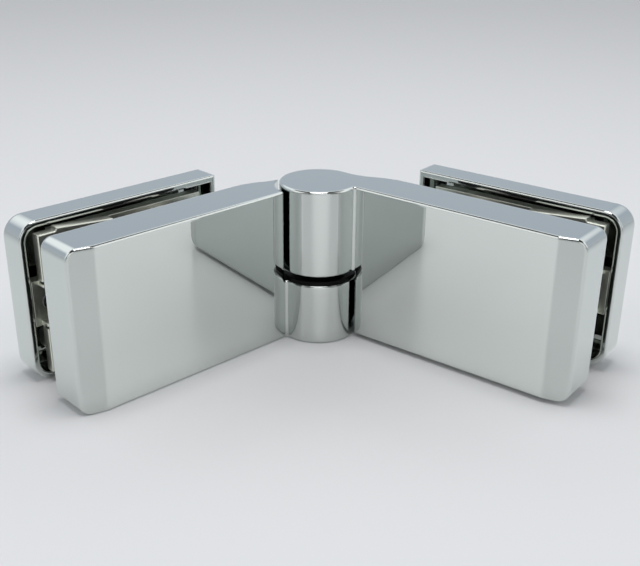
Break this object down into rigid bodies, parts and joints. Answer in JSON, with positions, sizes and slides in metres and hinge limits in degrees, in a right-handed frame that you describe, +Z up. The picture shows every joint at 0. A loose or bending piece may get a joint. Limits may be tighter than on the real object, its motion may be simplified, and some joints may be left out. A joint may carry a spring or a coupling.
{
  "type": "lifting hinge",
  "caption": "Glass-to-glass door hinge: two chrome clamp leaves on a barrel whose helical cams raise the door as it opens.",
  "frame": {"origin": "on the hinge axis, at the underside of the fixed leaf and its knuckle", "axes": "+Z up the hinge axis, fixed leaf along -X with its front to -Y, door leaf open by 82.4 degrees towards the fixed leaf's front"},
  "size_m": [0.1536, 0.14, 0.0563],
  "materials": {
    "polished_chrome": "polished",
    "nickel_zinc": "satin",
    "bright_steel": "bright",
    "black_acetal": "satin",
    "white_nylon": "satin",
    "black_rubber": "matt"
  },
  "bodies": {
    "fixed_leaf": {"fixed_body": "polished_chrome", "fixed_front_gasket": "black_rubber", "fixed_back_gasket": "black_rubber", "fixed_glass_sleeves": "white_nylon", "fixed_clamp_plate": "nickel_zinc", "fixed_cover": "polished_chrome", "fixed_clamp_screws": "bright_steel", "fixed_plate_screws": "bright_steel", "fixed_grub_screw": "bright_steel", "lower_cam": "black_acetal"},
    "spindle": {"spindle": "bright_steel", "thrust_washer": "bright_steel", "retaining_clip": "bright_steel"},
    "door_leaf": {"door_body": "polished_chrome", "door_front_gasket": "black_rubber", "door_back_gasket": "black_rubber", "door_glass_sleeves": "white_nylon", "door_clamp_plate": "nickel_zinc", "door_cover": "polished_chrome", "door_clamp_screws": "bright_steel", "door_plate_screws": "bright_steel", "door_grub_screw": "bright_steel", "upper_cam": "black_acetal"}
  },
  "joints": [
    {"name": "swing", "type": "hinge", "parent": "fixed_leaf", "child": "spindle", "pos_m": [0, 0, 0], "axis": [0, 0, -1], "range_deg": [-82.4, 27.6]},
    {"name": "lift", "type": "slide", "parent": "spindle", "child": "door_leaf", "axis": [0, 0, 1], "range_m": [-0.00135, 0.0005]}
  ],
  "couplings": [
    {"joint": "lift", "follows": "swing", "m_per_rad": 0.0009231}
  ]
}
